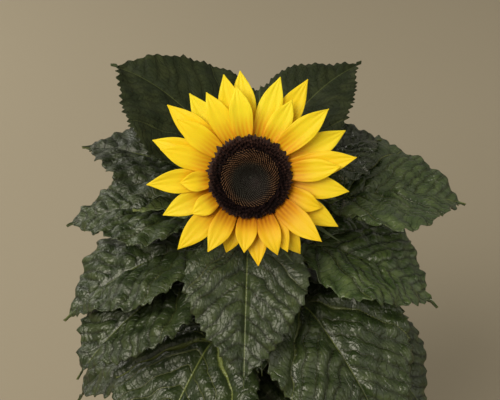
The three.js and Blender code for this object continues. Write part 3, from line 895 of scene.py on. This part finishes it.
petalYellow = petalMaterial()
for index, (bearing, reach, layer) in enumerate(petalPlan):
    name = f"petal_{index + 1:02d}"
    surface, normals, fields = petalSurface(bearing, reach, layer, 300 + index)
    thin = petalShape["thickness"] / 2
    points, faces = shell(surface, normals, thin, thin)
    both = {key: np.tile(values.ravel(), 2) for key, values in fields.items()}
    newPiece(name + "_yellow", toWorld(points), faces, [petalYellow], replaces=[name], fields=both)
print("petals:", len(petalPlan))


# bloom: cup and bracts

bractShape = {
    "outline": {"peak": 0.25, "atFoot": 0.8, "body": 1.0, "strip": 0.0},
    "count": 18,
    "start": (20.0, 9.5),  # radius and depth behind the face
    "length": 33.0,
    "width": 9.0,
    "thickness": 0.5,
    "tipAt": 0.985,
    "rows": 22,
    "columns": 9,
}

# a few bracts are longer, narrow and curled, and show between the petals: bearing, length, turn
longBracts = [
    (83, 44, 2), (236, 47, -26), (208, 46, 8), (291, 50, 22), (322, 60, 6), (343, 46, 4), (160, 40, 14),
]


def bractSurface(bearing, radius, depth, length, width, pitch, droop, aside):
    # a pointed blade, folded along its middle and bending back, its tip drawn out long
    path = growPath(polar(radius, math.radians(bearing), -depth), length, lambda run: (
        bearing + aside * (run / length) ** 2, pitch - droop * run / length))
    u, v = bladeGrid(bractShape)
    across = v * width / 2 * outline(u, **bractShape["outline"])
    place, _, side, face = pathAt(path, u * length)
    rise = 0.22 * np.abs(across) + 0.06 * aside * u ** 2
    place = place + side * across[..., None] + face * rise[..., None]
    return place, gridNormals(place, face)


def cupPiece():
    depth, rim = bloom["headDepth"], bloom["headRadius"]
    profile = np.array([
        [0.4, -depth], [5.5, -depth - 0.2], [7.6, -depth], [10.5, -depth + 1.4], [14, -depth + 3],
        [19, -depth + 4.9], [23.8, -depth + 7.2], [26.6, -9.2], [rim, -6.5], [rim, -4], [rim - 0.4, -2.7],
        [rim - 3, -2.6], [0.4, -4.2],
    ])
    flutes = 1 + 0.02 * np.cos(bractShape["count"] * turnsOf(72))[None, :]
    chance = np.random.default_rng(41)
    rows = []
    for index in range(bractShape["count"]):
        bearing = 360 * index / bractShape["count"] + 7 * math.sin(5 * index)
        length = bractShape["length"] + 6 * math.sin(2.3 * index)
        aside, asideBehind = chance.uniform(-12, 12, 2)
        rows.append((bearing, *bractShape["start"], length, bractShape["width"], -4, 10, aside))
        # and a shorter row behind
        rows.append((bearing + 10, 14.0, 13.5, 0.62 * length, 7.5, -16, 8, asideBehind))
    rows += [(bearing, 19.0, 11.0, length, 4.2, 2, 6, aside) for bearing, length, aside in longBracts]
    thin = bractShape["thickness"] / 2
    bracts = [shell(*bractSurface(*row), thin, thin) for row in rows]
    points, faces = joined([turned(profile, 72, flutes), *bracts])
    green = cloudyMaterial("bractGreen", 80.0, (0.040, 0.062, 0.016), (0.090, 0.120, 0.034), 0.35, 0.0005,
                           Roughness=0.55, Specular_IOR_Level=0.35, Sheen_Weight=0.1)
    newPiece("flower_cup_green", toWorld(points), faces, [green], replaces=["flower_cup"])


cupPiece()
print("cup and bracts")


# bloom: seed disc

discShape = {
    "profile": ([0, 0.9, 2.2, 5, 9, 14, 18, 22, 25, 27],               # mm from the middle
                [-1.6, -0.9, 0.3, 1.1, 2.7, 4.5, 5.1, 4.6, 3.0, 1.2]),  # and mm up
    "radius": 25.6,
    "florets": 1350,
    "spread": 0.6,         # a little above one half, so the florets get smaller to the middle
    "innerTo": 0.3,        # share of the radius where closed buds give way to ripening ones
    "middleTo": 0.76,      # and where those give way to open florets
    "spiral": 55,          # each floret's neighbour on the spiral that shows most
}

# pointed scales that stand out past the edge, a few large and many small: count, radii, tilts, sizes
scalePlan = [
    (13, (25.8, 26.8), (66, 82), (1.6, 2.1)),
    (52, (25.8, 26.8), (60, 80), (0.85, 1.5)),
    (46, (24.0, 25.4), (30, 55), (0.8, 1.1)),
]


def discHeight(radius):
    # a raised ring round a hollow with a small pit in its middle
    return np.interp(radius, *discShape["profile"])


def discPlace(radius, turn):
    return polar(radius, turn, discHeight(radius))


def discFrames(radius, turn, tiltBy, ahead=None):
    # a place on the disc with three axes, the third standing out of it and leaning outward by tiltBy;
    # the second points to ahead where that is given, otherwise round the disc
    outward = polar(1, turn)
    around = np.stack([-np.sin(turn), np.cos(turn), 0 * turn], -1)
    slope = (discHeight(radius + 0.2) - discHeight(radius - 0.2)) / 0.4
    lean = np.radians(tiltBy) - np.arctan(slope)
    stand = outward * np.sin(lean)[:, None] + np.array([0, 0, 1.0]) * np.cos(lean)[:, None]
    place = discPlace(radius, turn)
    second = around if ahead is None else unit(ahead - place)
    first = unit(np.cross(second, stand))
    return place, np.stack([first, np.cross(stand, first), stand], 1)


def band(first, second, count):
    # the four-sided faces between two rings of corners
    return [[first + k, first + (k + 1) % count, second + (k + 1) % count, second + k] for k in range(count)]


def cone(first, tip, count):
    return [[first + k, first + (k + 1) % count, tip] for k in range(count)]


def budShape(wide, long, height, tip):
    # a pointed bud, longer one way, with a small raised tip: two rings and a ridge, closed below
    ring = polar(1, turnsOf(6)) * [wide, long, 0]
    points = [*(ring * 0.9 + [0, 0, -0.6]), *(ring + [0, 0, height * 0.5]), *(ring * tip + [0, 0, height])]
    faces = [list(range(6))[::-1], *band(0, 6, 6), *band(6, 12, 6), list(range(12, 18))]
    return np.array(points), faces, [0] * 13 + [1]


def openShape():
    # a tube that opens in a five-pointed star, with the style standing out of its middle
    ring = polar(1, turnsOf(10))
    star, rise = (np.where(np.arange(10) % 2 == 0, *pair)[:, None] for pair in ((1.15, 0.45), (2.6, 1.7)))
    stalk, throat = ring * 0.5 + [0, 0, -0.8], ring * 0.24 + [0, 0, 2.0]
    mouth = ring * star + rise * [0, 0, 1]
    faces = [list(range(10))[::-1], *band(0, 10, 10), *band(10, 20, 10), *cone(20, 30, 10)]
    return np.array([*stalk, *mouth, *throat, [0, 0, 3.6]]), faces, [0] * 11 + [1] * 10 + [2] * 10


def toothShape():
    # a flat pointed scale, one unit wide and standing along its third axis
    corners = np.array([[-1, -1, 0], [1, -1, 0], [1, 1, 0], [-1, 1, 0]])
    foot, body = corners * [0.25, 1.1, 0] - [0, 0, 1.5], corners * [0.2, 1.2, 0] + [0, 0, 0.6]
    return np.array([*foot, *body, [0, 0, 3.0]]), [[3, 2, 1, 0], *band(0, 4, 4), *cone(4, 8, 4)]


def discMaterial(name, dark, light, roughness, *zones):
    # each zone's colour takes over from one share of the disc's radius to another
    def overlay(tree, skin, noise):
        for begins, ends, color in zones:
            skin = mixColor(ramp(field(tree, "share"), begins, ends), skin, color)
        return skin
    return cloudyMaterial(name, 160.0, dark, light, 0.2, 0.0003, overlay, Roughness=roughness,
                          Specular_IOR_Level=0.15, Specular_Tint=(1.0, 0.8, 0.7, 1.0))


budDark = discMaterial("budDark", (0.010, 0.006, 0.004), (0.018, 0.011, 0.007), 0.7,
                       (0.58, 0.3, (0.012, 0.012, 0.009)))
budTip = discMaterial("budTip", (0.10, 0.045, 0.018), (0.18, 0.090, 0.040), 0.6,
                      (0.56, 0.3, (0.042, 0.040, 0.029)), (0.2, 0.0, (0.080, 0.077, 0.060)))
maroon = discMaterial("maroon", (0.005, 0.003, 0.003), (0.011, 0.006, 0.006), 0.6,
                      (0.72, 0.98, (0.028, 0.014, 0.011)))
maroonTip = discMaterial("maroonTip", (0.009, 0.005, 0.005), (0.020, 0.010, 0.010), 0.55,
                         (0.72, 0.98, (0.058, 0.028, 0.022)))
pollen = discMaterial("pollen", (0.02, 0.009, 0.006), (0.13, 0.056, 0.034), 0.6,
                      (0.8, 0.6, (0.012, 0.006, 0.005)))
rimScale = discMaterial("rimScale", (0.015, 0.009, 0.008), (0.045, 0.024, 0.019), 0.55)


def floretPieces():
    # the florets stand in the spiral of a growing head: equal turns, radius by a power of the count
    chance = np.random.default_rng(77)
    florets, spiral = discShape["florets"], discShape["spiral"]
    order = np.arange(florets + spiral)
    share = ((order + 0.5) / florets) ** discShape["spread"]
    turn = order * goldenTurn
    ahead = discPlace(discShape["radius"] * np.minimum(share, 1.05), turn)[spiral:]
    order, share, turn = order[:florets], share[:florets], turn[:florets]
    radius = discShape["radius"] * share
    size = (0.75 + 0.5 * share) * (1.0 + 0.1 * chance.normal(0, 1, florets))
    inner, outer = share < discShape["innerTo"], share >= discShape["middleTo"]
    zones = [
        ("disc_buds", inner, budShape(0.36, 0.5, 0.9, 0.62), [budDark, budTip], 0),
        ("disc_ripening", ~inner & ~outer, budShape(0.36, 0.66, 1.3, 0.72), [budDark, budTip], 4),
        # every other one opens and fills the gaps
        ("disc_open", outer & (order % 2 == 0), openShape(), [maroon, maroonTip, pollen], 16),
    ]
    for name, zone, (shape, faces, picks), materials, lean in zones:
        count = int(zone.sum())
        tilts = lean * share[zone] + chance.normal(0, 1 + 0.8 * lean, count)
        tilts = tilts + 22 * smoothStep(0.88, 1.0, share[zone])
        places, axes = discFrames(radius[zone], turn[zone], tilts, None if lean > 10 else ahead[zone])
        points, allFaces = copies(shape, faces, places, axes, size[zone])
        ripenessAndLight = share[zone] - 0.11 * (1 - np.sin(turn[zone]))  # painted light: the low side, where the hollow faces the lamp above, takes the paler grey colours of florets nearer the middle
        newPiece(name, toWorld(points), allFaces, materials, picks=picks * count, smooth=False,
                 fields={"share": np.repeat(ripenessAndLight, len(shape))})


def scalePiece():
    # spread round the edge by chance, all in one piece
    groups = []
    for seed, (count, radii, tilts, sizes) in enumerate(scalePlan, 1):
        chance = np.random.default_rng(seed)
        turns = (np.arange(count) + chance.uniform(-0.3, 0.3, count)) * 2 * math.pi / count
        places, axes = discFrames(chance.uniform(*radii, count), turns, chance.uniform(*tilts, count))
        groups.append((places, axes, chance.uniform(*sizes, count)))
    points, allFaces = copies(*toothShape(), *(np.concatenate(values) for values in zip(*groups)))
    newPiece("disc_scales", toWorld(points), allFaces, [rimScale], smooth=False)


def groundPiece():
    # what the florets stand in: the same ring and hollow, closed below
    rings = np.array([0.3, 0.9, 2.2, 5, 8, 11, 14, 17, 20, 23, 25, 26.6, 27.5, 27.3, 14, 0.3])
    heights = np.concatenate([discHeight(rings[:12]) - 0.5, [-0.4, -1.8, -3.2, -3.2]])
    points, allFaces = turned(np.stack([rings, heights], -1)[::-1], 72)
    newPiece("seed_disc_ground", toWorld(points), allFaces, [maroon], replaces=["seed_disc"])


floretPieces()
scalePiece()
groundPiece()
print("disc:", discShape["florets"], "florets")


# pot and soil

potShape = {
    "height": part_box("pot")[1].z / mm,
    "topRadius": 73.0,
    "footRadius": 52.0,
    "wall": 5.0,
    "floor": 7.0,
    "rimHeight": 26.0,
    "rimProud": 4.0,
    "holes": 4,
    "holeRadius": 4.5,
    "holeCircle": 28.0,
    "rounding": (1.5, 0.8, 1.6, 1.8, 1.6, 4),  # mm at each corner, up the outside and down the inside
    "step": 3.0,
    "sides": 160,
}


def potInner(height):
    foot = potShape["footRadius"]
    return foot + (potShape["topRadius"] - foot) * (height / potShape["height"]) - potShape["wall"]


def rounded(corners, radii, steps=5):
    # a profile whose corners are rounded: a quadratic curve from before each corner to after it
    corners = np.asarray(corners, float)
    points = [corners[0]]
    t = np.linspace(0, 1, steps)[:, None]
    for before, corner, after, radius in zip(corners, corners[1:], corners[2:], radii):
        start = corner + unit(before - corner) * radius
        end = corner + unit(after - corner) * radius
        points.extend((1 - t) ** 2 * start + 2 * t * (1 - t) * corner + t ** 2 * end)
    points.append(corners[-1])
    return np.array(points)


def refine(profile, step):
    # more stops on long straight runs, so that a wall can carry relief
    points = [profile[:1]]
    for start, end in zip(profile, profile[1:]):
        count = max(int(np.linalg.norm(end - start) / step), 1)
        points.append(start + (end - start) * (np.arange(1, count + 1) / count)[:, None])
    return np.concatenate(points)


def chalky(tree, skin, noise):
    # a chalky bloom in the grain of the clay
    return mixColor(times(ramp(noise["Grain"], 0.55, 0.75), 0.35), skin, (0.55, 0.32, 0.21))


def drillTool():
    # four round bores side by side, to cut the drain holes with
    parts = []
    for hole in range(potShape["holes"]):
        angle = (hole + 0.5) * 2 * math.pi / potShape["holes"]
        points, faces = turned(np.array([[potShape["holeRadius"], -8], [potShape["holeRadius"], 14]]), 28)
        parts.append((points + polar(potShape["holeCircle"], angle), faces))
    return newMesh("drill", *joined(parts))


def potPiece():
    # thrown clay: a turned profile with faint rings up the wall, its drain holes cut with a boolean
    height, rimFoot = potShape["height"], potShape["height"] - potShape["rimHeight"]
    neck = potInner(rimFoot) + potShape["wall"]
    corners = [
        [0.5, 0], [potShape["footRadius"], 0], [neck, rimFoot], [neck + potShape["rimProud"], rimFoot + 0.5],
        [potShape["topRadius"] + potShape["rimProud"], height], [potInner(height), height],
        [potInner(potShape["floor"]), potShape["floor"]], [0.5, potShape["floor"]],
    ]
    profile = refine(rounded(corners, potShape["rounding"]), potShape["step"])
    turn = turnsOf(potShape["sides"])[None, :]
    level = profile[:, 1:2]
    rings = 0.09 * np.sin(level * 1.7 + 0.6 * np.sin(turn)) + 0.12 * np.sin(2 * turn + 0.03 * level)
    walls = smoothStep(2, 6, level) * (profile[:, :1] > 40)
    squeeze = 1 + rings * walls / profile[:, :1]
    points, faces = turned(profile, potShape["sides"], squeeze)
    clay = cloudyMaterial("firedClay", 18.0, (0.36, 0.135, 0.065), (0.47, 0.20, 0.105), 0.35, 0.0006, chalky,
                          Roughness=0.85, Specular_IOR_Level=0.25)
    pot = newPiece("pot_clay", points, faces, [clay], replaces=["pot"])
    tool = drillTool()
    cut = pot.modifiers.new("drainHoles", "BOOLEAN")
    cut.operation = "DIFFERENCE"
    cut.object = tool
    cut.solver = "EXACT"
    drilled = bpy.data.meshes.new_from_object(pot.evaluated_get(bpy.context.evaluated_depsgraph_get()))
    pot.modifiers.clear()
    pot.data = drilled
    bpy.data.objects.remove(tool)


def soilHeight(x, y):
    # lumps of several sizes, a little higher round the stem
    lumps = 0.8 * np.sin(0.35 * x + 1) * np.sin(0.31 * y) + 0.5 * np.sin(0.9 * x + 0.7 * y)
    lumps = lumps + 0.4 * np.sin(1.7 * y - 1.1 * x)
    return soilTop - 0.4 + lumps * 0.6 - 3.2 * smoothStep(20, potInner(soilTop), np.hypot(x, y))


soilShape = {
    "floor": potShape["floor"] + 0.5,
    "rings": 60,
    "sides": 120,
    "crumbs": 1400,
    "crumbSizes": (0.5, 1.8),
}


def soilPiece():
    # a lumpy top closed by a plain wall and base, with loose crumbs of peat and bark lying on it
    edge = potInner(soilTop - 5) - 0.4
    rings = np.concatenate([np.linspace(0.5, edge, soilShape["rings"]), [potInner(8) - 0.6, 0.5]])
    points = polar(rings[:, None], turnsOf(soilShape["sides"]))
    points[..., 2] = soilHeight(points[..., 0], points[..., 1])
    points[-2:, :, 2] = soilShape["floor"]
    points, faces = closedRings(points, [0, 0, soilHeight(0, 0)], [0, 0, soilShape["floor"]])
    peat = cloudyMaterial("peatySoil", 120.0, (0.020, 0.012, 0.008), (0.075, 0.045, 0.027), 0.9, 0.002,
                          Roughness=0.95, Specular_IOR_Level=0.2)
    newPiece("soil_peat", points, faces, [peat], replaces=["soil"])

    chance = np.random.default_rng(5)
    total = soilShape["crumbs"]
    spread = (edge - 3) * np.sqrt(chance.uniform(0.03, 1, total))
    turn = chance.uniform(0, 2 * math.pi, total)
    places = polar(spread, turn)
    places[:, 2] = soilHeight(places[:, 0], places[:, 1]) + 0.2
    axes = np.linalg.qr(chance.normal(0, 1, (total, 3, 3)))[0]
    axes = axes * np.linalg.det(axes)[:, None, None]  # right-handed, so that faces point outwards
    crumb = [[1, 0, 0], [-0.8, 0, 0], [0, 0.8, 0], [0, -0.7, 0], [0, 0, 0.6], [0.1, 0.1, -0.7]]
    crumbFaces = [[0, 2, 4], [2, 1, 4], [1, 3, 4], [3, 0, 4], [2, 0, 5], [1, 2, 5], [3, 1, 5], [0, 3, 5]]
    points, faces = copies(crumb, crumbFaces, places, axes, chance.uniform(*soilShape["crumbSizes"], total))
    newPiece("soil_crumbs", points, faces, [peat], smooth=False)


potPiece()
soilPiece()
print("pot and soil")


# floor, light and camera

stageLook = {
    "reach": 6000.0,
    "floorColor": (0.385, 0.330, 0.232),
    "worldColor": (0.82, 0.78, 0.70),
    "worldStrength": 0.40,
}

# name, place, what it is aimed at, size, power, colour: metres and watts
lightPlan = [
    ("key", (-0.95, -1.10, 1.80), bloom["centre"] * mm, 1.3, 37.0, (1.0, 0.96, 0.90)),
    ("fill", (1.4, -0.9, 0.9), bloom["centre"] * mm, 1.4, 3.5, (0.97, 0.97, 1.0)),
    ("window", (-0.95, 0.9, 0.85), (-0.5, 0.8, 0), 0.6, 5.0, (1.0, 0.98, 0.95)),
]

# the camera looks down on the bloom, aimed a little below it; span is what it sees across at that distance
view = {"elevation": 35.0, "distance": 950.0, "lowered": 15.64, "span": 340.0, "sensor": 36.0}


def makeFloor():
    corners = np.array([(-1, -1, 0), (1, -1, 0), (1, 1, 0), (-1, 1, 0)])
    floor = newMesh("floor", corners * stageLook["reach"], [(0, 1, 2, 3)])
    material, tree, shader = newMaterial("paleFloor", Roughness=0.9, Specular_IOR_Level=0.15)
    color = stageLook["floorColor"]
    clouds = useGroup(tree, mottle, 2.0)["Clouds"]
    plug(shader.inputs["Base Color"], mixColor(clouds, color, tuple(0.96 * part for part in color)))
    floor.data.materials.append(material)


def aimed(thing, place, ahead):
    thing.location = place
    thing.rotation_euler = Vector(ahead).to_track_quat("-Z", "Y").to_euler()


def makeLights():
    for name, place, target, size, power, color in lightPlan:
        light = bpy.data.lights.new(name, "AREA")
        light.size, light.energy, light.color = size, power, color
        aimed(newObject(name, light), place, Vector(target) - Vector(place))
    world = bpy.data.worlds.new("softRoom")
    world.use_nodes = True
    backdrop = world.node_tree.nodes["Background"]
    backdrop.inputs["Color"].default_value = (*stageLook["worldColor"], 1)
    backdrop.inputs["Strength"].default_value = stageLook["worldStrength"]
    bpy.context.scene.world = world
    bpy.context.scene.view_settings.view_transform = "Standard"


def makeCamera():
    rise = math.radians(view["elevation"])
    ahead = np.array([0, math.cos(rise), -math.sin(rise)])
    upward = np.array([0, math.sin(rise), math.cos(rise)])
    camera = bpy.data.cameras.new("camera")
    camera.sensor_width = view["sensor"]
    camera.lens = view["distance"] * view["sensor"] / view["span"]
    camera.dof.use_dof = False
    stand = newObject("camera", camera)
    aimed(stand, (bloom["centre"] - ahead * view["distance"] - upward * view["lowered"]) * mm, ahead)
    bpy.context.scene.camera = stand


makeFloor()
makeLights()
makeCamera()
print("floor, lights and camera")

bpy.context.view_layer.update()
